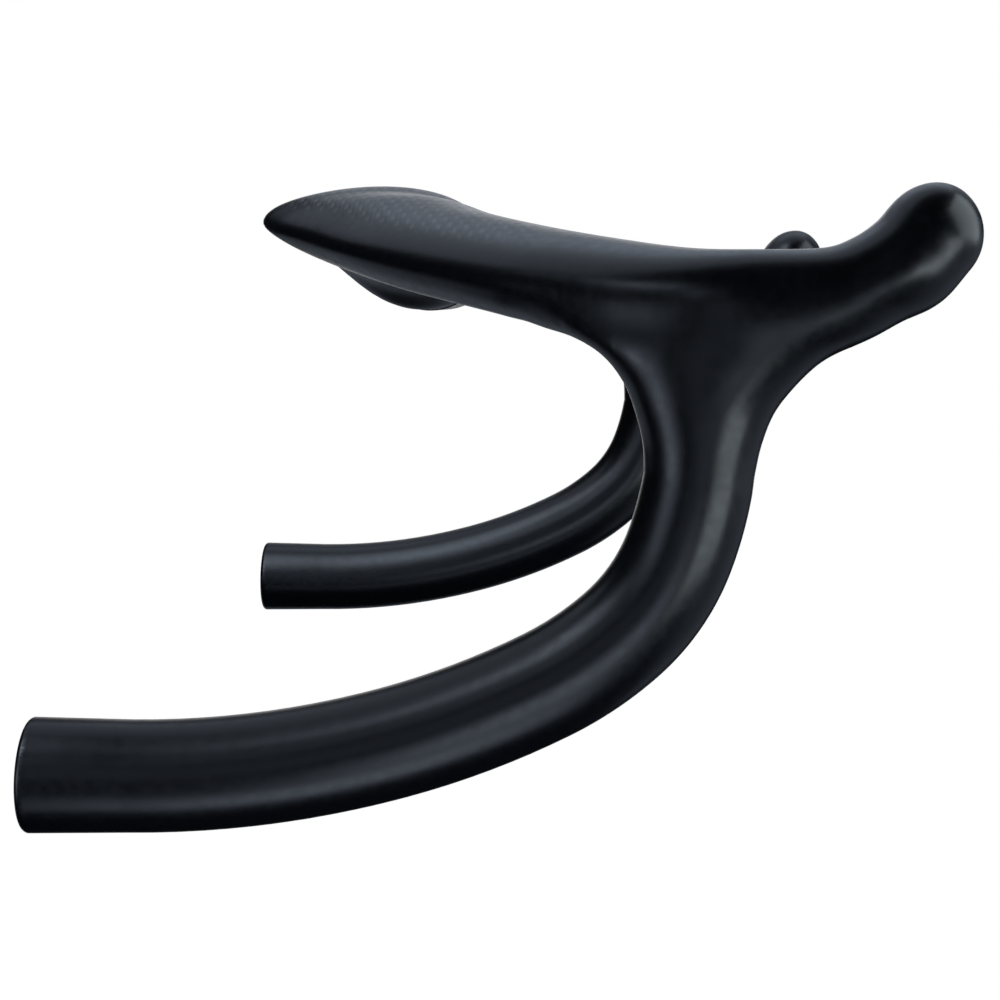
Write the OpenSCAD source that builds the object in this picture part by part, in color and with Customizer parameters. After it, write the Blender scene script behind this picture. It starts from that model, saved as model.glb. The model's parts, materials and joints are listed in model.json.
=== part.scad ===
// Track handlebar: one hollow moulded bar, with broad swept tops, a horn at each
// bend and a long round drop below it. Millimetres. +X is the rider's right,
// +Y is forward and +Z is up. The origin is the middle of the stem clamp.

/* [Clamp] */
// Diameter of the round land that the stem grips
clamp_d = 31.8; // [31.6:0.1:32]
// Length of the land along the bar
clamp_w = 56; // [48:1:60]

/* [Tops] */
// Distance between the centre planes of the two drops
drop_spacing = 330; // [320:1:350]
// Rise of the top face over the clamp centre, at its highest
top_rise = 17.4; // [16.5:0.1:19]
// Distance that the trailing edge stands behind the clamp centre
tail_back = 41.4; // [38:0.2:43]

/* [Horns] */
// Distance of a horn's tip, before its dome, ahead of the clamp centre
reach = 116.4; // [114:0.2:119]
// Width of a horn, across the bar
horn_w = 26; // [24:0.5:28]
// Height of a horn, square to its own axis
horn_h = 22.8; // [22:0.2:24]

/* [Drops] */
// Outer diameter of the drop tube
tube_d = 23.6; // [23.4:0.1:24]
// Outer diameter at the open end, which is slightly flared
end_d = 24.3; // [24:0.1:25]
// Bore of the tube's open end, where a plug seats
bore_d = 19.4; // [18.8:0.1:19.8]
// Depth of the true bore
bore_depth = 25; // [20:1:26]
// Thickness of the moulded wall
wall = 2.4; // [2.2:0.1:2.8]
// Rounding of the outer edge of the open end
rim_round = 1.4; // [0.8:0.1:1.6]
// Distance of the open end behind the clamp centre
end_back = 75.2; // [72:0.2:77]
// Distance of the open end's axis below the clamp centre
end_drop = 113.8; // [112:0.2:116]

/* [Hidden] */
$fn = 96;

half_spacing = drop_spacing / 2;
land_x = clamp_w / 2;
land_cover = 0.3;
land_margin = 1.5;
core_r = clamp_d / 2 - land_cover;
margin_x = land_x + land_margin;
horn_out = half_spacing + horn_w / 2;
horn_in = half_spacing - horn_w / 2;
horn_r = horn_h / 2;

// Facets round the bar and round a drop, and rings between two stations
bar_sides = 28;
drop_sides = 24;
cavity_sides = 12;
bar_steps = 3;
tip_rings = 4;
arc_step = 6;

// Step from the true bore down to the hollow, and the overrun of a cut
bore_step = 0.2;
overrun = 1;

// Stations of the right half of the bar, from the land's end to the horn's tip.
// Each is [trailing or outer point, leading or inner point, height above their
// middle, depth below it, fullness of the front above, and below, lean back].
bar_stations = [
    [[margin_x, -core_r, 0], [margin_x, core_r, 0], core_r, core_r, 0, 0, 0],
    [[36.5, -23.5, 3.2], [36.5, 16.2, 0], 14.2, 16.6, 0.12, 0.06, 0],
    [[45, -34.5, 6.4], [47, 17.2, -0.4], 13, 12.4, 0.22, 0.4, 0],
    [[57, -tail_back, 7.8], [60, 18.8, -1], top_rise - 3.8, 9.2, 0.3, 0.34, 0],
    [[70, -36.8, 5.4], [70, 20, -1], 11.8, 9.3, 0.2, 0.3, 0],
    [[85, -26.6, 2.6], [82, 22.6, -1.2], 12, 10, 0.22, 0.22, 0],
    [[106, -12.5, -1.5], [101, 31.5, -3], 10.8, 10.2, 0.18, 0.18, 0],
    [[half_spacing - 35, 8.5, -6], [half_spacing - 44, 46, -5.5], 10.2, 10.8, 0.14, 0.14, 0],
    [[horn_out - 26, 30, -10], [horn_in - 15, 61, -8], 10, 12, 0.08, 0.08, 0],
    [[horn_out - 9, reach - 65.4, -12.6], [horn_in - 5, reach - 40.4, -11], 10.4, 12.8, 0.03, 0.03, 0],
    [[horn_out - 0.5, reach - 44.4, -13.4], [horn_in - 1, reach - 30.4, -13.2], horn_r, horn_r + 0.6, 0, 0, 0],
    [[horn_out, reach - 20.4, -12.6], [horn_in, reach - 19.8, -12.6], horn_r - 0.2, horn_r - 0.8, 0, 0, 12],
    [[horn_out, reach - 11.6, -8.8], [horn_in, reach - 11.6, -8.8], horn_r - 1.2, horn_r - 0.9, 0, 0, 27],
    [[horn_out, reach - 4.8, -4.2], [horn_in, reach - 4.8, -4.2], horn_r - 1.3, horn_r + 0.4, 0, 0, 38],
    [[horn_out - 1, reach, 1.1], [horn_in + 1, reach, 1.1], horn_r - 1.4, horn_r + 0.3, 0, 0, 50]
];
// Length of the horn's domed tip, the lean of its axis and the turn of its last ring
tip_reach = 11.9;
tip_lean = 50;
tip_turn = 88;

// The drop's axis, from the open end: a straight, then five arcs, each
// [radius, turn], that climb forward and up to the trunk.
end_lean = -0.6;
end_straight = 22;
drop_arcs = [[207, 15.6], [178, 11.2], [74, 15.2], [44.5, 28], [80, 12]];
// Levels of the trunk between the drop and the bar, each [height, distance of the rear
// face behind the trunk's line, of the front face ahead of it, half thickness, share of
// the bar's own sweep that it follows, roundness: 1 for an oval, less for a squarer one].
trunk_line = reach - 48.4;
trunk_levels = [
    [-43.4, 12.3, 13.1, 12, 0.06, 1],
    [-36.4, 13.9, 16, 12.3, 0.15, 0.96],
    [-30.1, 16.2, 21.2, 12.6, 0.3, 0.88],
    [-24.3, 20.3, 28, 12.9, 0.5, 0.74],
    [-20.3, 26.8, 35.4, 13, 0.75, 0.66],
    [-17.4, 33.4, 40, 13, 1, 0.6],
    [-14, 33, 35, 12.4, 1, 0.6],
    [-8, 30, 28, 10, 1, 0.7]
];

function lerp(a, b, t) = a + (b - a) * t;

// Value at t of a smooth curve through the rows of a list, t counting the rows
function through(rows, t) =
    let (
        n = len(rows),
        i = max(0, min(n - 2, floor(t))),
        u = t - i,
        b = rows[i],
        c = rows[i + 1],
        mb = i > 0 ? (c - rows[i - 1]) / 2 : c - b,
        mc = i < n - 2 ? (rows[i + 2] - b) / 2 : c - b
    )
    b * (2 * u ^ 3 - 3 * u ^ 2 + 1) + mb * (u ^ 3 - 2 * u ^ 2 + u)
        + c * (3 * u ^ 2 - 2 * u ^ 3) + mc * (u ^ 3 - u ^ 2);

function trailing(t) = through([for (s = bar_stations) s[0]], t);
function leading(t) = through([for (s = bar_stations) s[1]], t);
function shape(t) = through([for (s = bar_stations) [s[2], s[3], s[4], s[5], s[6]]], t);

// One ring of the bar round the middle of two edge points, drawn in by inset
function bar_ring(t, inset, sides) =
    let (
        back = trailing(t),
        front = leading(t),
        s = shape(t),
        chord = front - back,
        e = chord / norm(chord),
        up0 = [0, -sin(s[4]), cos(s[4])],
        up1 = up0 - (up0 * e) * e,
        up = up1 / norm(up1),
        half = norm(chord) / 2 - inset
    )
    [for (k = [0:sides - 1])
        let (
            a = 360 * k / sides,
            above = sin(a) >= 0,
            rise = (above ? s[0] : s[1]) - inset,
            fullness = above ? s[2] : s[3]
        )
        (back + front) / 2 + e * half * cos(a) + up * rise * sin(a) * (1 + fullness * cos(a))];

// Rings that close the horn's tip as a dome
function tip_ring(a, inset, sides) =
    let (
        last = len(bar_stations) - 1,
        base = bar_ring(last, inset, sides),
        middle = (trailing(last) + leading(last)) / 2,
        axis = [0, cos(tip_lean), sin(tip_lean)]
    )
    [for (p = base) middle + (p - middle) * cos(a) + axis * (tip_reach - inset) * sin(a)];

function mirrored(ring) = [for (k = [0:len(ring) - 1]) [-ring[k][0], ring[k][1], ring[k][2]]];
function reversed(list) = [for (k = [len(list) - 1:-1:0]) list[k]];

// Line half a horn's width in from the bar's outer side, seen from above, as x against y
plan_first = 5;
plan_last = 11;
bar_plan = [for (t = [plan_first:0.25:plan_last])
    let (
        p = trailing(t),
        d = trailing(t + 0.1) - trailing(t - 0.1),
        in = [-d[1], d[0]] / norm([d[0], d[1]]) * horn_w / 2
    )
    [p[1] + in[1], p[0] + in[0]]];
function plan_x(y) = lookup(y, bar_plan);

// Part of a unit, drawn out toward a square where e is under 1
function drawn(c, e) = sign(c) * abs(c) ^ e;

// One ring of the drop: its fore-and-aft half a, its lateral half b, its roundness e
function drop_ring(y, z, lean, a, b, follow, e, sides) =
    [for (k = [0:sides - 1])
        let (
            q = 360 * k / sides,
            fore = a * drawn(cos(q), e),
            side = b * drawn(sin(q), e),
            py = y + fore * sin(lean),
            pz = z - fore * cos(lean),
            swept = lerp(half_spacing, plan_x(py), follow),
            slope = follow * (plan_x(py + 1) - plan_x(py - 1)) / 2,
            across = [1, -slope] / norm([1, -slope])
        )
        [swept - across[0] * side, py - across[1] * side, pz]];

function arc_start(i) = i == 0 ? [
        -end_back + end_straight * cos(end_lean),
        -end_drop + end_straight * sin(end_lean),
        end_lean
    ] : arc_point(i - 1, drop_arcs[i - 1][1]);
function arc_point(i, turn) =
    let (s = arc_start(i), r = drop_arcs[i][0])
    [s[0] + r * (sin(s[2] + turn) - sin(s[2])), s[1] - r * (cos(s[2] + turn) - cos(s[2])), s[2] + turn];

// The level at which the last arc hands over to the trunk
function trunk_foot() =
    let (
        last = len(drop_arcs) - 1,
        p = arc_point(last, drop_arcs[last][1]),
        r = tube_d / 2
    )
    [p[1], trunk_line - p[0] + r, p[0] - trunk_line + r, r, 0, 1];

// Places of the tube's rings as [y, z, lean]
function tube_path() =
    [for (i = [0:len(drop_arcs) - 1]) each
        let (n = ceil(drop_arcs[i][1] / arc_step))
        [for (k = [0:n - 1]) arc_point(i, drop_arcs[i][1] * k / n)]];

function end_ring(in_from_end, r, sides) =
    drop_ring(
        -end_back + in_from_end * cos(end_lean),
        -end_drop + in_from_end * sin(end_lean),
        end_lean, r, r, 0, 1, sides
    );

function drop_rings(inset, sides) = concat(
    [for (p = tube_path()) drop_ring(p[0], p[1], p[2], tube_d / 2 - inset, tube_d / 2 - inset, 0, 1, sides)],
    [for (t = [0:0.5:len(trunk_levels)])
        let (s = through(concat([trunk_foot()], trunk_levels), t))
        drop_ring(trunk_line + (s[2] - s[1]) / 2, s[0], 90, (s[1] + s[2]) / 2 - inset, s[3] - inset, s[4], s[5], sides)]
);

// Closed skin over a list of rings
module loft(rings) {
    sides = len(rings[0]);
    count = len(rings);
    polyhedron(
        points = [for (r = rings) each r],
        faces = concat(
            [[for (k = [0:sides - 1]) k]],
            [for (j = [0:count - 2], k = [0:sides - 1])
                let (a = j * sides + k, b = j * sides + (k + 1) % sides)
                each [[a, a + sides, b], [b, a + sides, b + sides]]],
            [[for (k = [sides - 1:-1:0]) (count - 1) * sides + k]]
        ),
        convexity = 6
    );
}

// Tops and horns in one sweep, from the left tip to the right tip
module bar_skin(inset, sides, last, tips) {
    right = concat(
        [for (t = [0:1 / bar_steps:last]) bar_ring(t, inset, sides)],
        tips ? [for (j = [1:tip_rings]) tip_ring(tip_turn * j / tip_rings, inset, sides)] : []
    );
    loft(concat([for (r = reversed(right)) mirrored(r)], right));
}

module drop_skin() {
    r = end_d / 2;
    rim = [for (a = [0, 45, 90]) [rim_round * (1 - cos(a)), r - rim_round * (1 - sin(a))]];
    loft(concat([for (p = rim) end_ring(p[0], p[1], drop_sides)], drop_rings(0, drop_sides)));
}

module both_sides() {
    children();
    mirror([1, 0, 0]) children();
}

// The moulded body: outer skin less the hollow that runs from end to end
module moulding() {
    resize([0, 0, 0]) difference() {
        union() {
            bar_skin(0, bar_sides, len(bar_stations) - 1, true);
            both_sides() drop_skin();
        }
        bar_skin(wall, cavity_sides, len(bar_stations) - 2, false);
        both_sides() loft(concat(
            [end_ring(-overrun, bore_d / 2 - bore_step, cavity_sides)],
            drop_rings(wall + bore_step, cavity_sides)
        ));
    }
}

// Round land for the stem, standing just proud of the moulded core
module clamp_land() {
    rotate([0, 90, 0]) difference() {
        cylinder(d = clamp_d, h = clamp_w, center = true);
        cylinder(r = core_r - wall / 2, h = clamp_w + 2 * overrun, center = true);
    }
}

module end_bore() {
    translate([half_spacing, -end_back, -end_drop]) rotate([end_lean - 90, 0, 0])
        translate([0, 0, -overrun]) cylinder(d = bore_d, h = bore_depth + overrun);
}

module handlebar() {
    color([0.09, 0.1, 0.12]) difference() {
        union() {
            moulding();
            clamp_land();
        }
        both_sides() end_bore();
    }
}

handlebar();
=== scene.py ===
"""Track handlebar: the finished look of one hollow, moulded drop bar.

The skin follows the stations of the construction model: one sweep for the tops and horns
and one for each drop, melted together where they meet. It is then hollowed, bored at the
open ends and dressed as a satin laminate with a fine weave on the broad tops, whose tows
carry a painted highlight on the faces that look up.
"""
import json
import logging
import math
from collections.abc import Sequence
from dataclasses import dataclass, field
from enum import Enum

import bpy
import numpy as np
from mathutils import Matrix, Vector
from mathutils.bvhtree import BVHTree


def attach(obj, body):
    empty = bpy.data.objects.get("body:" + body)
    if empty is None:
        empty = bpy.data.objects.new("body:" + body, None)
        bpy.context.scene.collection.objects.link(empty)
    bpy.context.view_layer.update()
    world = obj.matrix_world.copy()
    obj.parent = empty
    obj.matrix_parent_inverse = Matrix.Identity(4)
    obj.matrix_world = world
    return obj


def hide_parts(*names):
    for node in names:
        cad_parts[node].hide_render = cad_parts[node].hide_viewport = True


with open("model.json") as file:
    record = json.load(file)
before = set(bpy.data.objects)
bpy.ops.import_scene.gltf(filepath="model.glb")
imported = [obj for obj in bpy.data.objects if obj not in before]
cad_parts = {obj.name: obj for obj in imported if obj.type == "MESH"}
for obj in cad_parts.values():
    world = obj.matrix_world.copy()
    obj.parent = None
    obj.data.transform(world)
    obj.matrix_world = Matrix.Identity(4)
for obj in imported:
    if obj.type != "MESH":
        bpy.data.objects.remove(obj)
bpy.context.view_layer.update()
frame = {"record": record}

MM = 0.001
NODE = "handlebar"
BODY = "root"
# a lathe's profile ends this close to its axis, in millimetres
AXIS_R = 0.01

Ring = np.ndarray
Socket = bpy.types.NodeSocket
Shade = tuple[float, float, float, float]
Entry = Socket | float | Shade
log = logging.getLogger("track_handlebar")


class Side(Enum):
    """The two sides of the bar, as the sign of X."""

    RIGHT = 1
    LEFT = -1


class Joinery(Enum):
    """What is done to a piece with a tool solid."""

    ADD = "UNION"
    CUT = "DIFFERENCE"


@dataclass(frozen=True)
class Station:
    """One section of the tops or a horn, in millimetres, between its two edge points.

    above and below are its heights over and under the line between the points, full_above
    and full_below shift that height to the front, and lean tips the section back, in degrees.
    """

    trailing: tuple[float, float, float]
    leading: tuple[float, float, float]
    above: float
    below: float
    full_above: float = 0.0
    full_below: float = 0.0
    lean: float = 0.0

    def row(self) -> list[float]:
        """Return the station as one row of numbers."""
        shape = [self.above, self.below, self.full_above, self.full_below, self.lean]
        return [*self.trailing, *self.leading, *shape]


@dataclass(frozen=True)
class Level:
    """One level of the trunk between a drop and the bar, in millimetres.

    behind and ahead are the distances of its faces from the trunk's line, follow is the
    share of the bar's own sweep that it takes up, and roundness is 1 for an oval and less
    for a squarer one.
    """

    height: float
    behind: float
    ahead: float
    half_thickness: float
    follow: float = 0.0
    roundness: float = 1.0

    def row(self) -> list[float]:
        """Return the level as one row of numbers."""
        section = [self.behind, self.ahead, self.half_thickness]
        return [self.height, *section, self.follow, self.roundness]


@dataclass(frozen=True)
class Arc:
    """One arc of the drop's axis: its radius in millimetres and its turn in degrees."""

    radius: float
    turn: float


class SmoothRows:
    """A smooth curve through rows of numbers, counted along the rows."""

    def __init__(self, rows: Sequence[Sequence[float]]) -> None:
        """Keep the rows that the curve passes through, in order."""
        self.rows = np.array(rows, dtype=float)

    @property
    def last(self) -> int:
        """Return the place of the last row."""
        return len(self.rows) - 1

    def at(self, place: float) -> np.ndarray:
        """Give the row at a place between two rows.

        Args:
            place: the place along the rows, where a whole number is a row itself.

        Returns:
            The row there, as an array.
        """
        rows = self.rows
        i = max(0, min(self.last - 1, math.floor(place)))
        u = place - i
        start, end = rows[i], rows[i + 1]
        slope_start = (end - rows[i - 1]) / 2 if i > 0 else end - start
        slope_end = (rows[i + 2] - start) / 2 if i < self.last - 1 else end - start
        return (
            start * (2 * u**3 - 3 * u**2 + 1)
            + slope_start * (u**3 - 2 * u**2 + u)
            + end * (3 * u**2 - 2 * u**3)
            + slope_end * (u**3 - u**2)
        )


@dataclass
class Tops:
    """The tops and horns: one sweep from the left horn's tip to the right one's.

    Lengths are in millimetres, and angles in degrees.
    """

    core_r: float
    half_spacing: float
    land_half: float
    land_margin: float = 1.5
    top_rise: float = 17.4
    tail_back: float = 41.4
    reach: float = 116.4
    horn_w: float = 26.0
    horn_h: float = 22.8
    tip_reach: float = 11.9
    tip_lean: float = 50.0
    tip_turn: float = 88.5
    steps: int = 10
    tip_steps: int = 16
    plan_places: tuple[float, float, float] = (5, 11.01, 0.1)
    sides: int = 112
    curve: SmoothRows = field(init=False)

    def __post_init__(self) -> None:
        """Lay the curve through the stations."""
        self.curve = SmoothRows([station.row() for station in self.stations()])

    def stations(self) -> list[Station]:
        """List the stations of the right half.

        Returns:
            The stations, from the land's end to the horn's tip.
        """
        core, tip, half = self.core_r, self.reach, self.half_spacing
        start = self.land_half + self.land_margin
        peak = self.top_rise - 3.8
        outer = half + self.horn_w / 2
        inner = half - self.horn_w / 2
        r = self.horn_h / 2
        return [
            Station((start, -core, 0), (start, core, 0), core, core),
            Station((36.5, -23.5, 3.2), (36.5, 16.2, 0), 14.2, 16.6, 0.12, 0.06),
            Station((45, -34.5, 6.4), (47, 17.2, -0.4), 13, 12.4, 0.22, 0.4),
            Station((57, -self.tail_back, 7.8), (60, 18.8, -1), peak, 9.2, 0.3, 0.34),
            Station((70, -36.8, 5.4), (70, 20, -1), 12.6, 9.3, 0.2, 0.3),
            Station((85, -26.6, 2.6), (82, 22.6, -1.2), 12.4, 10, 0.22, 0.22),
            Station((106, -12.5, -1.5), (101, 31.5, -3), 11.1, 10.2, 0.18, 0.18),
            Station((half - 35, 8.5, -6), (half - 44, 46, -5.5), 10.2, 10.8, 0.14, 0.14),
            Station((outer - 26, 30, -10), (inner - 15, 61, -8), 10, 12, 0.08, 0.08),
            Station((outer - 9, tip - 65.4, -12.6), (inner - 5, tip - 40.4, -11), 10.4, 12.8, 0.03, 0.03),
            Station((outer - 0.5, tip - 44.4, -13.4), (inner - 1, tip - 30.4, -13.2), r, r + 0.6),
            Station((outer, tip - 20.4, -12.6), (inner, tip - 19.8, -12.6), r - 0.2, r - 0.8, lean=12),
            Station((outer, tip - 11.6, -8.8), (inner, tip - 11.6, -8.8), r - 1.2, r - 0.9, lean=27),
            Station((outer, tip - 4.8, -4.2), (inner, tip - 4.8, -4.2), r - 1.3, r + 0.4, lean=38),
            Station((outer - 1, tip, 1.1), (inner + 1, tip, 1.1), r - 1.4, r + 0.3, lean=50),
        ]

    def ring(self, place: float, inset: float = 0.0, sides: int = 0) -> Ring:
        """Draw one section.

        Args:
            place: the place along the stations.
            inset: how far the section lies inside the outer skin, in millimetres.
            sides: the number of its points, or 0 for the usual number.

        Returns:
            The section's points, in order round it.
        """
        row = self.curve.at(place)
        back, front = row[0:3], row[3:6]
        above, below, full_above, full_below, lean = row[6:11]
        chord = front - back
        along = chord / np.linalg.norm(chord)
        up = np.array([0, -math.sin(math.radians(lean)), math.cos(math.radians(lean))])
        up -= (up @ along) * along
        up /= np.linalg.norm(up)
        half = np.linalg.norm(chord) / 2 - inset
        turn = np.linspace(0, 2 * np.pi, sides or self.sides, endpoint=False)
        upper = np.sin(turn) >= 0
        rise = np.where(upper, above, below) - inset
        fullness = np.where(upper, full_above, full_below)
        height = rise * np.sin(turn) * (1 + fullness * np.cos(turn))
        return (back + front) / 2 + np.outer(half * np.cos(turn), along) + np.outer(height, up)

    def tip_ring(self, share: float) -> Ring:
        """Draw one ring of a horn's domed tip.

        Args:
            share: 0 where the dome starts and 1 at its very end.

        Returns:
            The ring's points.
        """
        base = self.ring(self.curve.last)
        row = self.curve.at(self.curve.last)
        middle = (row[0:3] + row[3:6]) / 2
        lean = math.radians(self.tip_lean)
        axis = np.array([0, math.cos(lean), math.sin(lean)])
        turn = math.radians(self.tip_turn * share)
        return middle + (base - middle) * math.cos(turn) + axis * self.tip_reach * math.sin(turn)

    def rings(self) -> list[Ring]:
        """Draw the outer skin from tip to tip."""
        places = np.arange(self.curve.last * self.steps + 1) / self.steps
        right = [self.ring(place) for place in places]
        right += [self.tip_ring((i + 1) / self.tip_steps) for i in range(self.tip_steps)]
        return mirrored_rings(right)[::-1] + right

    def hollow_rings(self, wall: float, sides: int) -> list[Ring]:
        """Draw the hollow inside the tops, one wall further in."""
        steps = self.steps // 2
        places = np.arange((self.curve.last - 1) * steps + 1) / steps
        right = [self.ring(place, wall, sides) for place in places]
        return mirrored_rings(right)[::-1] + right

    def plan(self) -> tuple[np.ndarray, np.ndarray]:
        """Give the line half a horn in from the outer side, seen from above, as its y and x."""
        first, last, step = self.plan_places
        places = np.arange(first, last, step)
        side = np.array([self.curve.at(place)[0:2] for place in places])
        spans = [self.curve.at(place + step) - self.curve.at(place - step) for place in places]
        way = np.array(spans)[:, 0:2]
        way /= np.linalg.norm(way, axis=1, keepdims=True)
        return side[:, 1] + way[:, 0] * self.horn_w / 2, side[:, 0] - way[:, 1] * self.horn_w / 2


@dataclass
class Drop:
    """One drop, from its open end to where its trunk runs up into the bar.

    Lengths are in millimetres, and angles in degrees.
    """

    tops: Tops
    end_back: float = 75.2
    end_drop: float = 113.8
    tube_d: float = 23.6
    end_d: float = 24.3
    wall: float = 2.4
    bore_step: float = 0.2
    end_lean: float = -0.6
    end_straight: float = 22.0
    run_out: float = 4.0
    arcs: tuple[Arc, ...] = (
        Arc(207, 15.6), Arc(178, 11.2), Arc(74, 15.2), Arc(44.5, 28), Arc(80, 12),
    )
    trunk_back: float = 48.4
    levels: tuple[Level, ...] = (
        Level(-43.4, 12.3, 13.1, 12, 0.06, 1),
        Level(-36.4, 13.9, 16, 12.3, 0.15, 0.96),
        Level(-30.1, 16.2, 21.2, 12.6, 0.3, 0.88),
        Level(-24.3, 20.3, 28, 12.9, 0.5, 0.74),
        Level(-20.3, 26.8, 35.4, 13, 0.75, 0.66),
        Level(-17.4, 33.4, 40, 13, 1, 0.6),
        Level(-14, 33, 35, 12.4, 1, 0.6),
        Level(-8, 30, 28, 10, 1, 0.7),
    )
    sides: int = 96
    turn_step: float = 1.5
    plan: tuple[np.ndarray, np.ndarray] = field(init=False)

    def __post_init__(self) -> None:
        """Take up the line that the trunk follows."""
        self.plan = self.tops.plan()

    def ring(
        self,
        y: float,
        z: float,
        lean: float,
        half: float,
        thick: float,
        follow: float = 0.0,
        roundness: float = 1.0,
        sides: int = 0,
    ) -> Ring:
        """Draw one section of the drop.

        Args:
            y: the section's middle along Y.
            z: the section's middle along Z.
            lean: the slope of the axis there, in degrees.
            half: half the section's width fore and aft.
            thick: half its width across the bar.
            follow: the share of the bar's sweep that it takes up.
            roundness: 1 for an oval, and less for a squarer one.
            sides: the number of its points, or 0 for the usual number.

        Returns:
            The section's points, in order round it.
        """
        turn = np.linspace(0, 2 * np.pi, sides or self.sides, endpoint=False)
        tilt = math.radians(lean)
        parts = (np.cos(turn), np.sin(turn))
        fore, aside = (np.sign(part) * np.abs(part) ** roundness for part in parts)
        py = y + half * fore * math.sin(tilt)
        pz = z - half * fore * math.cos(tilt)
        plan_y, plan_x = self.plan
        middle = self.tops.half_spacing
        x = middle + (np.interp(py, plan_y, plan_x) - middle) * follow
        slope = follow * (np.interp(py + 1, plan_y, plan_x) - np.interp(py - 1, plan_y, plan_x)) / 2
        length = np.hypot(1, slope)
        offset = thick * aside
        return np.stack([x - offset / length, py + offset * slope / length, pz], axis=1)

    def end_ring(self, inward: float, radius: float, sides: int = 0) -> Ring:
        """Draw a round section near the open end, inward of it by a distance."""
        tilt = math.radians(self.end_lean)
        y = -self.end_back + inward * math.cos(tilt)
        z = -self.end_drop + inward * math.sin(tilt)
        return self.ring(y, z, self.end_lean, radius, radius, sides=sides)

    def axis_points(self) -> list[tuple[float, float, float]]:
        """Trace the axis along its arcs.

        Returns:
            Points as (y, z, lean in degrees), from the end's straight to the trunk's foot.
        """
        tilt = math.radians(self.end_lean)
        y = -self.end_back + self.end_straight * math.cos(tilt)
        z = -self.end_drop + self.end_straight * math.sin(tilt)
        points = [(y, z, self.end_lean)]
        for arc in self.arcs:
            count = math.ceil(arc.turn / self.turn_step)
            y0, z0, lean0 = points[-1]
            start = math.radians(lean0)
            for k in range(1, count + 1):
                now = math.radians(lean0 + arc.turn * k / count)
                y = y0 + arc.radius * (math.sin(now) - math.sin(start))
                z = z0 - arc.radius * (math.cos(now) - math.cos(start))
                points.append((y, z, math.degrees(now)))
        return points

    def body_rings(self, inset: float = 0.0, sides: int = 0) -> list[Ring]:
        """Draw the drop from the end of its straight up into the bar.

        Args:
            inset: how far the sections lie inside the outer skin, in millimetres.
            sides: the number of points in a section, or 0 for the usual number.

        Returns:
            The sections, in order.
        """
        r = self.tube_d / 2
        points = self.axis_points()
        foot_y, foot_z, _ = points[-1]
        line = self.tops.reach - self.trunk_back
        foot = Level(foot_z, line - foot_y + r, foot_y - line + r, r)
        curve = SmoothRows([level.row() for level in (foot, *self.levels)])
        tube = r - inset
        rings = [self.ring(y, z, lean, tube, tube, sides=sides) for y, z, lean in points[:-1]]
        for place in np.arange(curve.last * self.tops.steps + 1) / self.tops.steps:
            height, behind, ahead, thick, follow, roundness = curve.at(place)
            middle = line + (ahead - behind) / 2
            half = (ahead + behind) / 2 - inset
            rings.append(self.ring(middle, height, 90, half, thick - inset, follow, roundness, sides))
        return rings

    def rings(self) -> list[Ring]:
        """Draw the outer skin, running out past the open end so that it can be cut clean."""
        slope = (self.end_d - self.tube_d) / 2 / self.end_straight
        inward = np.arange(-self.run_out, self.end_straight, 1)
        ends = [self.end_ring(way, self.end_d / 2 - slope * way) for way in inward]
        return ends + self.body_rings()

    def hollow_rings(self, bore_r: float, sides: int) -> list[Ring]:
        """Draw the hollow of the drop, open past its end."""
        mouth = self.end_ring(-self.run_out, bore_r - self.bore_step, sides)
        return [mouth] + self.body_rings(self.wall + self.bore_step, sides)


def mirrored_rings(rings: Sequence[Ring]) -> list[Ring]:
    """Mirror rings about the plane X = 0, in the same order round each."""
    return [ring * np.array([-1.0, 1.0, 1.0]) for ring in rings]


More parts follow.
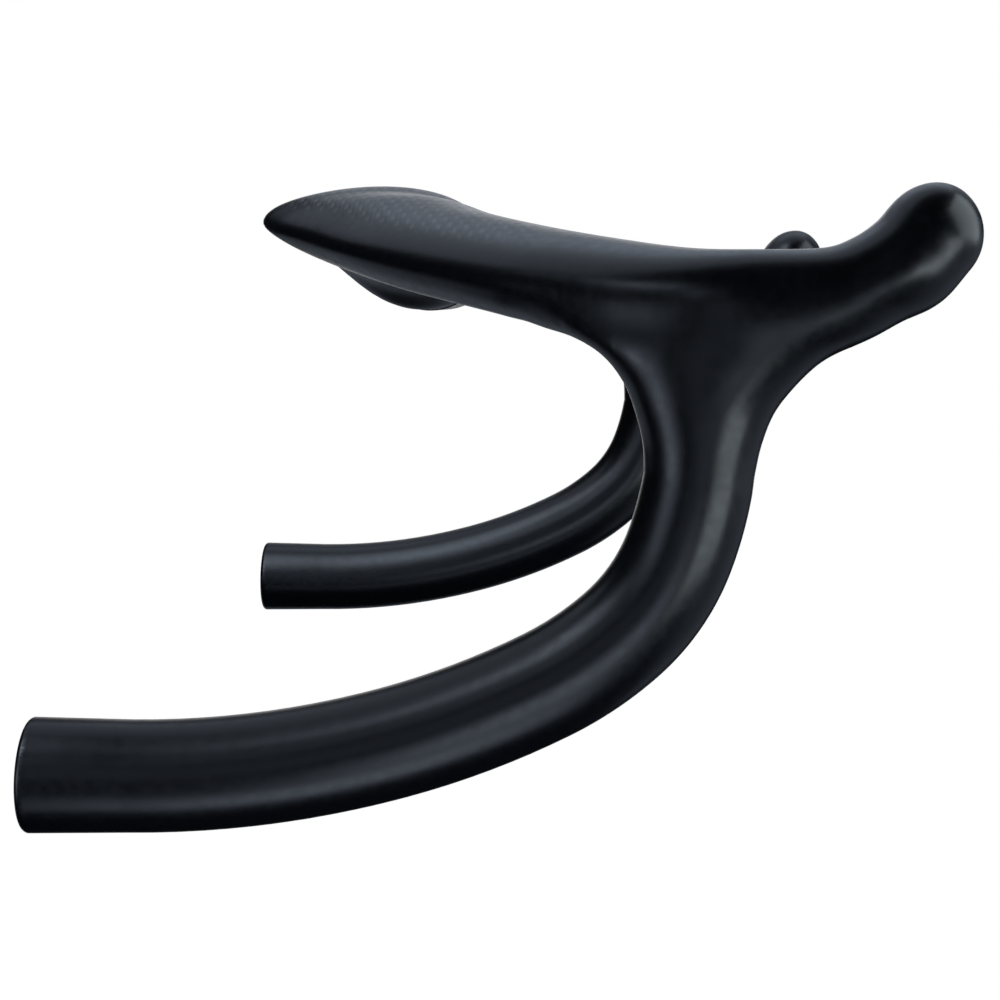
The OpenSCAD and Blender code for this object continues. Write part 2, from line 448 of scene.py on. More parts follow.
class SkinMesh:
    """Closed meshes made from rings, and the cutting and joining of them."""

    @staticmethod
    def loft(name: str, rings: Sequence[Ring], flip: bool = False) -> bpy.types.Object:
        """Close a skin over rings.

        Args:
            name: the new object's name.
            rings: the rings in order, each with as many points, in millimetres.
            flip: True where the faces would otherwise look inward.

        Returns:
            The new object, in metres.
        """
        sides, count = len(rings[0]), len(rings)
        points = np.concatenate(rings) * MM
        faces: list[tuple[int, ...]] = [tuple(reversed(range(sides)))]
        for j in range(count - 1):
            for k in range(sides):
                a, b = j * sides + k, j * sides + (k + 1) % sides
                faces.append((b, b + sides, a + sides, a))
        faces.append(tuple((count - 1) * sides + k for k in range(sides)))
        if flip:
            faces = [face[::-1] for face in faces]
        mesh = bpy.data.meshes.new(name)
        mesh.from_pydata([tuple(p) for p in points], [], faces)
        piece = bpy.data.objects.new(name, mesh)
        bpy.context.scene.collection.objects.link(piece)
        return piece

    @staticmethod
    def lathe(
        name: str, profile: Sequence[tuple[float, float]], place: Matrix, sides: int
    ) -> bpy.types.Object:
        """Turn a closed solid about its own Z axis.

        Args:
            name: the new object's name.
            profile: points as (radius, height) in millimetres, up the outline.
            place: where the solid goes, in metres.
            sides: the number of facets round it.

        Returns:
            The new object.
        """
        turn = np.linspace(0, 2 * np.pi, sides, endpoint=False)
        circle = np.stack([np.cos(turn), np.sin(turn), np.zeros(sides)], axis=1)
        rings = [circle * r + np.array([0, 0, h]) for r, h in profile]
        piece = SkinMesh.loft(name, rings)
        piece.data.transform(place)
        return piece

    @staticmethod
    def apply(piece: bpy.types.Object) -> None:
        """Turn a piece's modifiers into its mesh."""
        shown = piece.evaluated_get(bpy.context.evaluated_depsgraph_get())
        mesh = bpy.data.meshes.new_from_object(shown)
        piece.modifiers.clear()
        piece.data = mesh

    @staticmethod
    def combine(piece: bpy.types.Object, tool: bpy.types.Object, joinery: Joinery) -> None:
        """Add a tool solid to a piece, or cut the piece with it, and delete the tool.

        Args:
            piece: the piece that is changed.
            tool: the solid that is added or that cuts.
            joinery: which of the two is done.
        """
        step = piece.modifiers.new("step", "BOOLEAN")
        step.solver = "MANIFOLD"
        step.operation = joinery.value
        step.object = tool
        SkinMesh.apply(piece)
        bpy.data.objects.remove(tool)

    @staticmethod
    def tree(piece: bpy.types.Object) -> BVHTree:
        """Build the search tree of a piece's faces."""
        return BVHTree.FromObject(piece, bpy.context.evaluated_depsgraph_get())


@dataclass
class MeltedSkin:
    """Overlapping skins melted into one, with a soft fillet along the seam.

    Lengths are in millimetres.
    """

    fillet: float = 3.0
    cell: float = 1.25
    rounds: int = 3
    relax_rounds: int = 4
    relax: float = 0.5
    deepest: float = 2.0
    touching: float = 0.01
    flattest: float = 0.1
    seam_reach: float = 9.0
    seam_rounds: int = 30

    def melt(self, name: str, skins: Sequence[bpy.types.Object]) -> bpy.types.Object:
        """Melt skins into one piece.

        Args:
            name: the new piece's name.
            skins: the skins, of which the first is the tops and the rest are the drops.

        Returns:
            The new piece. The skins are deleted.
        """
        trees = [SkinMesh.tree(skin) for skin in skins]
        piece = skins[0].copy()
        piece.name = name
        piece.data = skins[0].data.copy()
        bpy.context.scene.collection.objects.link(piece)
        for skin in skins[1:]:
            SkinMesh.combine(piece, skin, Joinery.ADD)
        bpy.data.objects.remove(skins[0])
        cells = piece.modifiers.new("cells", "REMESH")
        cells.mode = "VOXEL"
        cells.voxel_size = self.cell * MM
        SkinMesh.apply(piece)
        self.settle(piece.data, trees)
        return piece

    def settle(self, mesh: bpy.types.Mesh, trees: Sequence[BVHTree]) -> None:
        """Move each point of a mesh onto the blend of the skins.

        Args:
            mesh: the mesh, which is changed.
            trees: the search trees of the skins.
        """
        count = len(mesh.vertices)
        points = np.empty(count * 3)
        mesh.vertices.foreach_get("co", points)
        points = points.reshape(-1, 3)
        edges = np.empty(len(mesh.edges) * 2, dtype=np.int64)
        mesh.edges.foreach_get("vertices", edges)
        ends = edges.reshape(-1, 2)
        valence = np.bincount(edges, minlength=count)[:, None]
        for _ in range(self.rounds):
            for _ in range(self.relax_rounds):
                points += self.relax * (self.neighbour_mean(points, ends, valence) - points)
            points = self.onto_blend(points, trees)
        near = self.seam_nearness(points, trees)[:, None]
        for _ in range(self.seam_rounds):
            points += self.relax * near * (self.neighbour_mean(points, ends, valence) - points)
        mesh.vertices.foreach_set("co", points.ravel())
        mesh.update()

    @staticmethod
    def neighbour_mean(points: np.ndarray, ends: np.ndarray, valence: np.ndarray) -> np.ndarray:
        """Give the mean of each point's neighbours.

        Args:
            points: the points.
            ends: the two ends of each edge.
            valence: the number of edges at each point.

        Returns:
            The means, in the order of the points.
        """
        count = len(points)
        total = np.stack(
            [
                np.bincount(ends[:, 0], points[ends[:, 1], axis], count)
                + np.bincount(ends[:, 1], points[ends[:, 0], axis], count)
                for axis in range(3)
            ],
            axis=1,
        )
        return total / valence

    def onto_blend(self, points: np.ndarray, trees: Sequence[BVHTree]) -> np.ndarray:
        """Step each point onto the surface where the blended distance is nought.

        Args:
            points: the points, in metres.
            trees: the search trees of the skins.

        Returns:
            The moved points.
        """
        moved = points.copy()
        fillet = self.fillet * MM
        for i, point in enumerate(points):
            spot = Vector(point)
            found = sorted((self.outside(spot, tree) for tree in trees), key=lambda pair: pair[0])
            (near, near_way), (far, far_way) = found[0], found[1]
            overlap = max(fillet - (far - near), 0.0) / fillet
            distance = near - overlap**2 * fillet / 4
            slope = near_way * (1 - overlap / 2) + far_way * (overlap / 2)
            moved[i] = spot - slope * (distance / max(slope.length_squared, self.flattest))
        return moved

    def seam_nearness(self, points: np.ndarray, trees: Sequence[BVHTree]) -> np.ndarray:
        """Measure how near each point lies to a seam: 1 on it, and 0 past its reach.

        Args:
            points: the points, in metres.
            trees: the search trees of the skins.

        Returns:
            The measure for each point.
        """
        spots = [Vector(point) for point in points]
        second = [sorted(tree.find_nearest(spot)[3] for tree in trees)[1] for spot in spots]
        share = np.clip(1 - np.array(second) / (self.seam_reach * MM), 0, 1)
        return share * share * (3 - 2 * share)

    def outside(self, spot: Vector, tree: BVHTree) -> tuple[float, Vector]:
        """Measure how far a spot lies outside a skin.

        Args:
            spot: the spot, in metres. It is never deeper inside a skin than deepest.
            tree: the skin's search tree.

        Returns:
            The distance, which is negative inside, and the way in which it grows.
        """
        close, normal, _, distance = tree.find_nearest(spot)
        inside = distance < self.deepest * MM and (spot - close).dot(normal) < 0
        side = -1.0 if inside else 1.0
        if distance < self.touching * MM:
            return side * distance, normal
        return side * distance, (spot - close) * (side / distance)


@dataclass(frozen=True)
class Lumps:
    """A soft random field: its lumps in a metre, its finer layers and their strength.

    band holds the two values between which the field is put to use.
    """

    scale: float
    detail: float = 2.0
    roughness: float = 0.5
    band: tuple[float, float] = (0.3, 0.7)


class NodeBoard:
    """The nodes of one material, laid out as they are added."""

    SPACING = 220
    COLUMNS = 8
    MIX_COLOURS = (6, 7)
    MIX_RESULT = 2

    def __init__(self, name: str) -> None:
        """Start an empty material of that name."""
        self.material = bpy.data.materials.new(name)
        self.material.use_nodes = True
        self.tree = self.material.node_tree
        self.tree.nodes.clear()

    @classmethod
    def of_tree(cls, tree: bpy.types.NodeTree) -> "NodeBoard":
        """Start afresh in a node tree that exists, such as the world's.

        Args:
            tree: the node tree, which is emptied.

        Returns:
            The board of that tree.
        """
        board = cls.__new__(cls)
        board.tree = tree
        tree.nodes.clear()
        return board

    def add(self, kind: str, **settings: object) -> bpy.types.Node:
        """Add a node.

        Args:
            kind: the node's type, without its ShaderNode prefix.
            settings: the node's own settings, by name.

        Returns:
            The node.
        """
        node = self.tree.nodes.new("ShaderNode" + kind)
        line, column = divmod(len(self.tree.nodes), self.COLUMNS)
        node.location = (self.SPACING * column, -self.SPACING * line)
        for name, value in settings.items():
            setattr(node, name, value)
        return node

    def join(self, source: Entry, target: Socket) -> None:
        """Lead a socket, or a plain value, into a socket."""
        if isinstance(source, Socket):
            self.tree.links.new(source, target)
        else:
            target.default_value = source

    def maths(self, operation: str, *values: Socket | float) -> Socket:
        """Work out a number from sockets and plain numbers.

        Args:
            operation: the name of the operation.
            values: its inputs, in order.

        Returns:
            The result's socket.
        """
        node = self.add("Math", operation=operation)
        for socket, value in zip(node.inputs, values):
            self.join(value, socket)
        return node.outputs[0]

    def fade(
        self, value: Socket, start: float, end: float, low: float = 0.0, high: float = 1.0
    ) -> Socket:
        """Turn a value smoothly from low at start to high at end.

        Args:
            value: the value's socket.
            start: where the turn starts.
            end: where it ends.
            low: the result up to start.
            high: the result past end.

        Returns:
            The result's socket.
        """
        node = self.add("MapRange", interpolation_type="SMOOTHSTEP")
        names = ("Value", "From Min", "From Max", "To Min", "To Max")
        for name, entry in zip(names, (value, start, end, low, high)):
            self.join(entry, node.inputs[name])
        return node.outputs["Result"]

    def blend(self, share: Socket, first: Socket | Shade, second: Socket | Shade) -> Socket:
        """Blend two colours.

        Args:
            share: the share of the second colour.
            first: the first colour.
            second: the second colour.

        Returns:
            The blended colour's socket.
        """
        node = self.add("Mix", data_type="RGBA")
        self.join(share, node.inputs[0])
        for number, colour in zip(self.MIX_COLOURS, (first, second)):
            self.join(colour, node.inputs[number])
        return node.outputs[self.MIX_RESULT]

    def noise(self, place: Socket, lumps: Lumps) -> Socket:
        """Add a soft random field at the coordinates of a socket, and return its socket."""
        node = self.add("TexNoise")
        self.join(place, node.inputs["Vector"])
        node.inputs["Scale"].default_value = lumps.scale
        node.inputs["Detail"].default_value = lumps.detail
        node.inputs["Roughness"].default_value = lumps.roughness
        return node.outputs["Fac"]


@dataclass(frozen=True)
class SatinLaminate:
    """Blue-black satin lacquer over laminate, with a fine weave on the broad tops.

    Lengths are in metres. The weave goes one over and one under, is longer along the bar
    than across it, and shows only on faces that look up, short of the root of the horns.
    The crowns of the tows that run along the bar are painted a bright colour there: a painted
    highlight of the light from above, laid over the weave's real relief.
    weave_and_highlight_slope is the Z of a face's normal where the weave and its painted
    highlight start and where they are full.
    """

    name: str = "satin_laminate"
    depth: Shade = (0.0002, 0.0005, 0.0020, 1)
    cool: Shade = (0.0003, 0.0007, 0.0024, 1)
    # painted highlight: the colour of the tows' crowns, far brighter than the lacquer itself
    tow_highlight_paint: Shade = (0.060, 0.066, 0.078, 1)
    tow_dark: Shade = (0.0020, 0.0023, 0.0030, 1)
    tow_width: float = 0.00135
    tow_length: float = 0.0048
    weave_rise: float = 0.00002
    weave_end: float = 0.125
    weave_fade: float = 0.02
    # faces that look up this much carry the weave and its painted highlight
    weave_and_highlight_slope: tuple[float, float] = (0.80, 0.90)
    mottle: Lumps = Lumps(38.0, 3.0, band=(0.35, 0.65))
    roughness: float = 0.31
    roughness_play: float = 0.03
    sheen: Lumps = Lumps(420.0, 4.0, 0.6)
    grain: Lumps = Lumps(2600.0)
    grain_rise: float = 0.000004

    def material(self) -> bpy.types.Material:
        """Make the material and return it."""
        board = NodeBoard(self.name)
        place = board.add("TexCoord").outputs["Object"]
        xyz = board.add("SeparateXYZ")
        board.join(place, xyz.inputs[0])
        zone = self.weave_and_highlight_zone(board, xyz)
        rise, tow_highlight_share = self.weave(board, xyz)
        mottle = board.fade(board.noise(place, self.mottle), *self.mottle.band)
        ground = board.blend(mottle, self.depth, self.cool)
        # painted highlight: the crowns of the tows along the bar take a bright colour over the dark tows
        woven = board.blend(tow_highlight_share, self.tow_dark, self.tow_highlight_paint)
        shader = board.add("BsdfPrincipled")
        board.join(board.blend(zone, ground, woven), shader.inputs["Base Color"])
        low, high = self.roughness - self.roughness_play, self.roughness + self.roughness_play
        sheen = board.fade(board.noise(place, self.sheen), *self.sheen.band, low, high)
        board.join(sheen, shader.inputs["Roughness"])
        board.join(self.relief(board, place, zone, rise), shader.inputs["Normal"])
        board.join(shader.outputs[0], board.add("OutputMaterial").inputs[0])
        return board.material

    def weave_and_highlight_zone(self, board: NodeBoard, xyz: bpy.types.Node) -> Socket:
        """Mark where the weave and its painted highlight show.

        Args:
            board: the material's nodes.
            xyz: the node that gives the place along each axis.

        Returns:
            A socket that is 1 on the woven faces and 0 elsewhere.
        """
        normal = board.add("SeparateXYZ")
        board.join(board.add("TexCoord").outputs["Normal"], normal.inputs[0])
        # the weave and its painted highlight only on faces that look up, where the light from above falls
        upward = board.fade(normal.outputs["Z"], *self.weave_and_highlight_slope)
        across = board.maths("ABSOLUTE", xyz.outputs["X"])
        outer = board.fade(across, self.weave_end, self.weave_end + self.weave_fade, 1.0, 0.0)
        return board.maths("MULTIPLY", upward, outer)

    def weave(self, board: NodeBoard, xyz: bpy.types.Node) -> tuple[Socket, Socket]:
        """Work out the weave.

        Args:
            board: the material's nodes.
            xyz: the node that gives the place along each axis.

        Returns:
            The socket of the weave's height, and the socket of the tows that run along the bar,
            1 at the crown of each and 0 on the others, which sets where the highlight is painted.
        """
        across = board.maths("DIVIDE", xyz.outputs["X"], self.tow_length)
        along = board.maths("DIVIDE", xyz.outputs["Y"], self.tow_width)
        cell = board.maths("ADD", board.maths("FLOOR", across), board.maths("FLOOR", along))
        over = board.maths("LESS_THAN", board.maths("FLOORED_MODULO", cell, 2.0), 0.5)
        first = self.tow(board, board.maths("FRACT", along), board.maths("FRACT", across))
        second = self.tow(board, board.maths("FRACT", across), board.maths("FRACT", along))
        under = board.maths("SUBTRACT", 1.0, over)
        raised = board.maths("MULTIPLY", over, first)
        rise = board.maths("ADD", raised, board.maths("MULTIPLY", under, second))
        return rise, raised

    @staticmethod
    def tow(board: NodeBoard, cross: Socket, run: Socket) -> Socket:
        """Shape one tow where it lies on top: round across, and arched along.

        Args:
            board: the material's nodes.
            cross: the place across the tow, from 0 to 1.
            run: the place along it, from 0 to 1.

        Returns:
            The tow's height, from 0 to 1.
        """
        centred = board.maths("MULTIPLY_ADD", cross, 2.0, -1.0)
        round_part = board.maths("SUBTRACT", 1.0, board.maths("MULTIPLY", centred, centred))
        arch = board.maths("SINE", board.maths("MULTIPLY", run, math.pi))
        return board.maths("MULTIPLY", round_part, arch)

    def relief(self, board: NodeBoard, place: Socket, zone: Socket, rise: Socket) -> Socket:
        """Join the weave's height and the lacquer's fine grain into one bump.

        Args:
            board: the material's nodes.
            place: the coordinates' socket.
            zone: the socket that is 1 on the woven faces.
            rise: the weave's height, from 0 to 1.

        Returns:
            The bump's socket.
        """
        woven = board.maths("MULTIPLY", board.maths("MULTIPLY", rise, zone), self.weave_rise)
        grain = board.maths("MULTIPLY", board.noise(place, self.grain), self.grain_rise)
        bump = board.add("Bump")
        bump.inputs["Strength"].default_value = 1.0
        bump.inputs["Distance"].default_value = 1.0
        board.join(board.maths("ADD", woven, grain), bump.inputs["Height"])
        return bump.outputs[0]


@dataclass(frozen=True)
class RawLaminate:
    """The bare inside of the moulding: dull, with wrinkles from the bladder."""

    name: str = "raw_laminate"
    dark: Shade = (0.010, 0.010, 0.011, 1)
    pale: Shade = (0.030, 0.030, 0.031, 1)
    roughness: float = 0.62
    roughness_play: float = 0.1
    folds: Lumps = Lumps(160.0, 5.0, 0.65, band=(0.3, 0.75))
    rough_band: tuple[float, float] = (0.2, 0.8)
    wrinkle: float = 0.00012

    def material(self) -> bpy.types.Material:
        """Make the material and return it."""
        board = NodeBoard(self.name)
        place = board.add("TexCoord").outputs["Object"]
        fold = board.noise(place, self.folds)
        shader = board.add("BsdfPrincipled")
        colour = board.blend(board.fade(fold, *self.folds.band), self.dark, self.pale)
        board.join(colour, shader.inputs["Base Color"])
        low, high = self.roughness - self.roughness_play, self.roughness + self.roughness_play
        board.join(board.fade(fold, *self.rough_band, low, high), shader.inputs["Roughness"])
        bump = board.add("Bump")
        bump.inputs["Distance"].default_value = 1.0
        board.join(board.maths("MULTIPLY", fold, self.wrinkle), bump.inputs["Height"])
        board.join(bump.outputs[0], shader.inputs["Normal"])
        board.join(shader.outputs[0], board.add("OutputMaterial").inputs[0])
        return board.material


@dataclass
class Handlebar:
    """The whole bar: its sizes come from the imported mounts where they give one.

    Lengths are in millimetres.
    """

    finish: SatinLaminate = SatinLaminate()
    inside: RawLaminate = RawLaminate()
    melt: MeltedSkin = field(default_factory=MeltedSkin)
    land_cover: float = 0.3
    land_depth: float = 3.0
    land_round: float = 0.3
    rim_round: float = 1.4
    rim_steps: int = 8
    cutter_wall: float = 5.0
    cutter_gap: float = 0.12
    cutter_reach: float = 0.6
    inner_rim: float = 0.4
    skin_depth: float = 1.5
    overrun: float = 1.0
    sharp_edge: float = 32.0
    round_sides: int = 128
    hollow_sides: int = 32
    land_r: float = field(init=False)
    land_half: float = field(init=False)
    bore_r: float = field(init=False)
    bore_depth: float = field(init=False)
    half_spacing: float = field(init=False)
    tops: Tops = field(init=False)
    drop: Drop = field(init=False)
    outer: BVHTree = field(init=False)

    def __post_init__(self) -> None:
        """Read the clamp and the open ends from the frame."""
        mounts = {mount["name"]: mount for mount in frame["record"]["mounts"]}
        clamp, end = mounts["stem_clamp"], mounts["right_drop_end"]
        self.land_r = clamp["dims"]["r_mm"]
        self.land_half = clamp["dims"]["length_mm"] / 2
        self.bore_r = end["dims"]["r_mm"]
        self.bore_depth = end["dims"]["length_mm"]
        self.half_spacing = end["pos_m"][0] / MM
        self.tops = Tops(self.land_r - self.land_cover, self.half_spacing, self.land_half)
        self.drop = Drop(self.tops)

    def build(self) -> bpy.types.Object:
        """Build the bar's mesh.

        Returns:
            The bar.
        """
        skins = [SkinMesh.loft("tops_skin", self.tops.rings())]
        skins += [self.on_side("drop_skin", self.drop.rings(), side) for side in Side]
        log.info("skins lofted")
        bar = self.melt.melt("track_handlebar", skins)
        log.info("skins melted: %d points", len(bar.data.vertices))
        self.outer = SkinMesh.tree(bar)
        self.add_land(bar)
        self.hollow_out(bar)
        for side in Side:
            self.open_end(bar, side)
        return bar

    @staticmethod
    def on_side(name: str, rings: Sequence[Ring], side: Side) -> bpy.types.Object:
        """Close a skin over the right side's rings, mirrored where it is for the left side.

        Args:
            name: the new object's name, without its side.
            rings: the rings as they lie on the right side.
            side: the side that the skin is for.

        Returns:
            The new object.
        """
        left = side is Side.LEFT
        placed = mirrored_rings(rings) if left else rings
        return SkinMesh.loft(f"{name}_{side.name.lower()}", placed, flip=left)

    def add_land(self, bar: bpy.types.Object) -> None:
        """Put the round land on the core, with its ends broken by a small round."""
        r, half, soft = self.land_r, self.land_half, self.land_round
        deep = r - self.land_depth
        start = [(deep, -half), (r - soft, -half), (r, -half + soft)]
        profile = start + [(radius, -height) for radius, height in reversed(start)]
        along_x = Matrix.Rotation(math.pi / 2, 4, "Y")
        land = SkinMesh.lathe("land", profile, along_x, self.round_sides)
        SkinMesh.combine(bar, land, Joinery.ADD)

    def hollow_out(self, bar: bpy.types.Object) -> None:
        """Cut the hollow of the tops and of both drops."""
        wall = self.drop.wall
        inner = SkinMesh.loft("tops_hollow", self.tops.hollow_rings(wall, self.hollow_sides))
        SkinMesh.combine(bar, inner, Joinery.CUT)
        for side in Side:
            rings = self.drop.hollow_rings(self.bore_r, self.hollow_sides)
            SkinMesh.combine(bar, self.on_side("drop_hollow", rings, side), Joinery.CUT)

    def end_place(self, side: Side) -> Matrix:
        """Give the frame of an open end: its origin on the end face, its Z axis inward."""
        drop = self.drop
        origin = Vector((side.value * self.half_spacing, -drop.end_back, -drop.end_drop)) * MM
        inward = Matrix.Rotation(math.radians(drop.end_lean) - math.pi / 2, 4, "X")
        return Matrix.Translation(origin) @ inward

    def open_end(self, bar: bpy.types.Object, side: Side) -> None:
        """Cut an end face square, round its rim and bore it.

        Args:
            bar: the bar.
            side: the side that the end is on.
        """
        place = self.end_place(side)
        r, soft, steps = self.drop.end_d / 2, self.rim_round, self.rim_steps
        turns = [math.pi / 2 * i / steps for i in range(steps + 1)]
        curve = [(r - soft + soft * math.sin(t), soft - soft * math.cos(t)) for t in turns]
        past = self.drop.run_out + self.overrun
        wall, reach = r + self.cutter_wall, soft + self.cutter_reach
        outside = [(wall, -past), (wall, reach), (r + self.cutter_gap, reach)]
        cutter = [(AXIS_R, -past), *outside, *reversed(curve), (AXIS_R, 0)]
        lip = self.inner_rim
        bore = [
            (self.bore_r + lip + self.overrun, -self.overrun),
            (self.bore_r, lip),
            (self.bore_r, self.bore_depth),
            (AXIS_R, self.bore_depth),
        ]
        for name, profile in (("end_cutter", cutter), ("end_bore", bore)):
            tool = SkinMesh.lathe(name, profile, place, self.round_sides)
            SkinMesh.combine(bar, tool, Joinery.CUT)

    def mark_inside(self, mesh: bpy.types.Mesh) -> None:
        """Give the faces that lie well within the outer skin the inside's finish."""
        for face in mesh.polygons:
            depth = self.outer.find_nearest(face.center)[3]
            at_rim = abs(face.center.y + self.drop.end_back * MM) < self.inner_rim * MM
            face.material_index = int(depth > self.skin_depth * MM and not at_rim)

    def dress(self, bar: bpy.types.Object) -> None:
        """Give the outside and the inside their finishes, and smooth the shading."""
        bar.data.materials.clear()
        bar.data.materials.append(self.finish.material())
        bar.data.materials.append(self.inside.material())
        self.mark_inside(bar.data)
        bar.data.shade_smooth()
        bar.data.set_sharp_from_angle(angle=math.radians(self.sharp_edge))
        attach(bar, BODY)
        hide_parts(NODE)


class Tint(Enum):
    """The colours of the lamps."""

    DAY = (0.81, 0.93, 1.0)
    SKY = (0.72, 0.83, 1.0)


@dataclass(frozen=True)
class Softbox:
    """One soft lamp about the bar: angles in degrees seen from its aim, lengths in metres.

    bearing turns from +X toward +Y, height rises from the horizon, level is how bright
    the lamp's face is, aim is the place that it faces, and grid is how far to the side its
    light still goes.
    """

    name: str
    bearing: float
    height: float
    distance: float
    width: float
    tall: float
    level: float
    tint: Tint = Tint.SKY
    aim: tuple[float, float, float] = (0.12, 0.03, -0.04)
    grid: float = 90.0

    def build(self) -> None:
        """Set up the lamp."""
        data = bpy.data.lights.new(self.name, "AREA")
        data.shape = "RECTANGLE"
        data.size = self.width
        data.size_y = self.tall
        data.color = self.tint.value
        half = math.radians(self.grid)
        data.spread = 2 * half
        data.energy = self.level * math.pi * self.width * self.tall * (1 - half / math.tan(half))
        turn, rise = math.radians(self.bearing), math.radians(self.height)
        flat = math.cos(rise)
        way = Vector((flat * math.cos(turn), flat * math.sin(turn), math.sin(rise)))
        lamp = bpy.data.objects.new(self.name, data)
        lamp.location = Vector(self.aim) + self.distance * way
        lamp.rotation_euler = (-way).to_track_quat("-Z", "Y").to_euler()
        lamp.visible_camera = False
        bpy.context.scene.collection.objects.link(lamp)


@dataclass
class Studio:
    """The pale floor, the soft lamps, the white backdrop and the camera.

    Lengths are in metres, apart from the sensor's, which is in millimetres.
    """

    camera_place: tuple[float, float, float] = (0.6264, 0.046, -0.0124)
    focal_px: float = 2168.6
    centre_px: tuple[float, float] = (597.0, 298.0)
    frame_px: float = 1000.0
    sensor: float = 36.0
    floor_height: float = -1.3
    floor_half: float = 9.0
    floor_grey: float = 0.5
    floor_dim: float = 0.06
    # painted shade: the floor's glow near the bar, and the reach over which it rises to full
    floor_glow: float = 0.6
    shadow_reach: tuple[float, float] = (0.6, 1.3)
    surround: float = 0.012
    backdrop_edge: tuple[float, float] = (-0.985, -0.90)
    lamps: tuple[Softbox, ...] = (
        Softbox("fore_box", 88, 24, 0.86, 0.95, 0.98, 2.08, Tint.DAY),
        Softbox("fore_low_box", 48, -15, 1.25, 0.95, 0.35, 3.95, Tint.DAY, aim=(0.14, 0.04, -0.05)),
        Softbox("under_box", 4, -51, 0.50, 0.34, 0.27, 3.16, aim=(0.16, 0.00, -0.03), grid=25),
        Softbox("rear_box", -27, 30, 0.87, 0.18, 0.18, 1.13, aim=(0.12, 0.01, -0.04), grid=60),
        Softbox("overhead_box", -164, 56, 0.70, 1.12, 0.61, 0.57, aim=(0.13, 0.02, -0.02)),
        Softbox("back_box", 168, 35, 0.76, 0.75, 0.53, 0.36, aim=(0.12, 0.03, -0.06)),
        Softbox("back_low_box", -153, -22, 0.86, 1.35, 0.38, 0.28),
        Softbox("side_box", -61, 0, 0.79, 0.21, 0.18, 0.84),
        Softbox("near_box", -12, 8, 0.73, 0.18, 0.26, 0.48),
        Softbox("drop_box", -61, 52, 0.49, 0.50, 0.18, 5.30, aim=(0.16, 0.00, -0.17), grid=20),
        Softbox("far_drop_box", -30, 48, 0.50, 0.25, 0.58, 4.88, aim=(-0.21, -0.04, -0.15), grid=41),
        Softbox("horn_under_box", 109, -28, 0.61, 0.91, 0.72, 0.31, aim=(0.19, 0.09, 0.00), grid=66),
        Softbox("upright_box", -65, -5, 0.73, 0.18, 0.18, 0.97, aim=(0.16, 0.07, -0.08), grid=38),
        Softbox("bend_box", 7, -18, 0.49, 0.18, 0.20, 2.74, aim=(0.12, 0.01, -0.08), grid=44),
        Softbox("low_side_box", -60, -8, 0.34, 0.18, 0.18, 1.28, aim=(0.16, 0.05, -0.09), grid=49),
        Softbox("drop_side_box", -52, 13, 0.36, 0.18, 0.18, 1.38, aim=(0.17, 0.02, -0.12), grid=49),
    )

    def build(self) -> None:
        """Set up the whole studio."""
        self.add_camera()
        self.add_floor()
        self.light_surround()
        for lamp in self.lamps:
            lamp.build()
            log.info("lamp %s set up", lamp.name)

    def add_camera(self) -> None:
        """Set up the camera: level, looking along -X."""
        data = bpy.data.cameras.new("camera")
        data.sensor_width = self.sensor
        data.lens = self.sensor * self.focal_px / self.frame_px
        half = self.frame_px / 2
        data.shift_x = (half - self.centre_px[0]) / self.frame_px
        data.shift_y = (self.centre_px[1] - half) / self.frame_px
        camera = bpy.data.objects.new("camera", data)
        camera.location = self.camera_place
        camera.rotation_euler = (math.pi / 2, 0, math.pi / 2)
        bpy.context.scene.collection.objects.link(camera)
        bpy.context.scene.camera = camera

    def add_floor(self) -> None:
        """Lay the plain pale floor, well below the bar."""
        half, z = self.floor_half, self.floor_height
        corners = [(-half, -half, z), (half, -half, z), (half, half, z), (-half, half, z)]
        mesh = bpy.data.meshes.new("floor")
        mesh.from_pydata(corners, [], [(0, 1, 2, 3)])
        floor = bpy.data.objects.new("floor", mesh)
        bpy.context.scene.collection.objects.link(floor)
        mesh.materials.append(self.floor_paint())

    def floor_paint(self) -> bpy.types.Material:
        """Make the floor's paint: pale to the camera, with a painted shade under the bar, where it glows
        less, as well as the bar's own shadow.
        """
        board = NodeBoard("floor_white")
        paint = board.add("BsdfDiffuse")
        paint.inputs["Color"].default_value = (self.floor_grey,) * 3 + (1,)
        dim = board.add("BsdfDiffuse")
        dim.inputs["Color"].default_value = (self.floor_dim,) * 3 + (1,)
        length = board.add("VectorMath", operation="LENGTH")
        board.join(board.add("TexCoord").outputs["Object"], length.inputs[0])
        near, far = (math.hypot(reach, self.floor_height) for reach in self.shadow_reach)
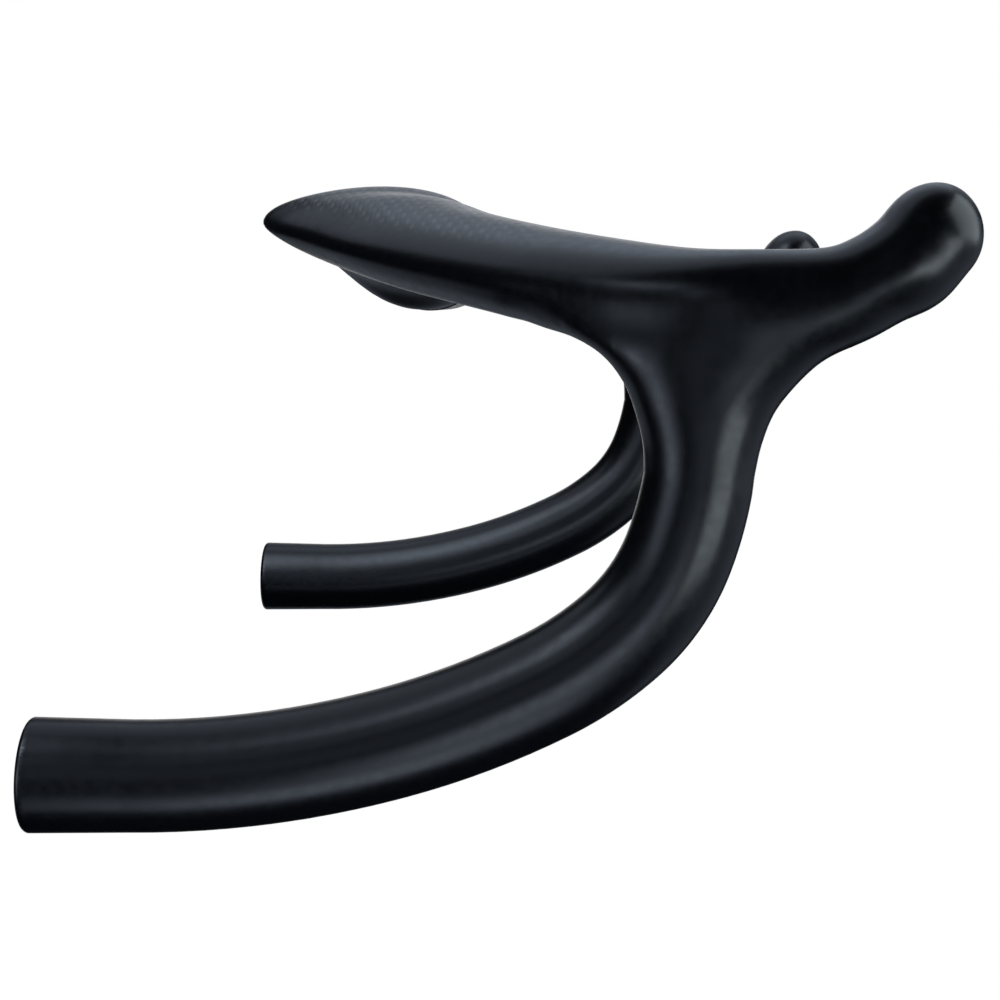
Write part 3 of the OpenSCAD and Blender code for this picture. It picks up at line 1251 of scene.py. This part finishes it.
        # painted shade: the floor glows less near the bar than far off
        glow_dimmed_under_bar = board.fade(length.outputs["Value"], near, far, self.floor_glow, 1.0)
        glow = board.add("Emission")
        board.join(glow_dimmed_under_bar, glow.inputs["Strength"])
        shown = board.add("AddShader")
        board.join(paint.outputs[0], shown.inputs[0])
        board.join(glow.outputs[0], shown.inputs[1])
        plain = self.seen(board, board.add("LightPath"))
        mix = board.add("MixShader")
        board.join(plain, mix.inputs[0])
        board.join(dim.outputs[0], mix.inputs[1])
        board.join(shown.outputs[0], mix.inputs[2])
        board.join(mix.outputs[0], board.add("OutputMaterial").inputs[0])
        return board.material

    @staticmethod
    def seen(board: NodeBoard, paths: bpy.types.Node) -> Socket:
        """Mark the rays that the eye sees straight, or through something clear."""
        seen_rays = ("Is Camera Ray", "Is Transmission Ray")
        return board.maths("MAXIMUM", *(paths.outputs[name] for name in seen_rays))

    def light_surround(self) -> None:
        """Make the surround: a white backdrop to the eye, and a dim room about the bar."""
        world = bpy.data.worlds.new("surround")
        world.use_nodes = True
        bpy.context.scene.world = world
        board = NodeBoard.of_tree(world.node_tree)
        way = board.add("SeparateXYZ")
        board.join(board.add("TexCoord").outputs["Generated"], way.inputs[0])
        behind = board.fade(way.outputs["X"], *self.backdrop_edge, 1.0, 0.0)
        paths = board.add("LightPath")
        mirrored = board.maths("MULTIPLY", paths.outputs["Is Glossy Ray"], behind)
        white = board.maths("MAXIMUM", self.seen(board, paths), mirrored)
        level = board.maths("MULTIPLY_ADD", white, 1.0 - self.surround, self.surround)
        light = board.add("Background")
        light.inputs["Color"].default_value = (1, 1, 1, 1)
        board.join(level, light.inputs["Strength"])
        board.join(light.outputs[0], board.add("OutputWorld").inputs[0])
        bpy.context.scene.view_settings.view_transform = "Standard"


def main() -> None:
    """Build the studio and the bar, and report each piece."""
    logging.basicConfig(level=logging.INFO, format="%(message)s")
    Studio().build()
    handlebar = Handlebar()
    bar = handlebar.build()
    handlebar.dress(bar)
    log.info("%s: %d faces", bar.name, len(bar.data.polygons))


if __name__ == "__main__":
    main()
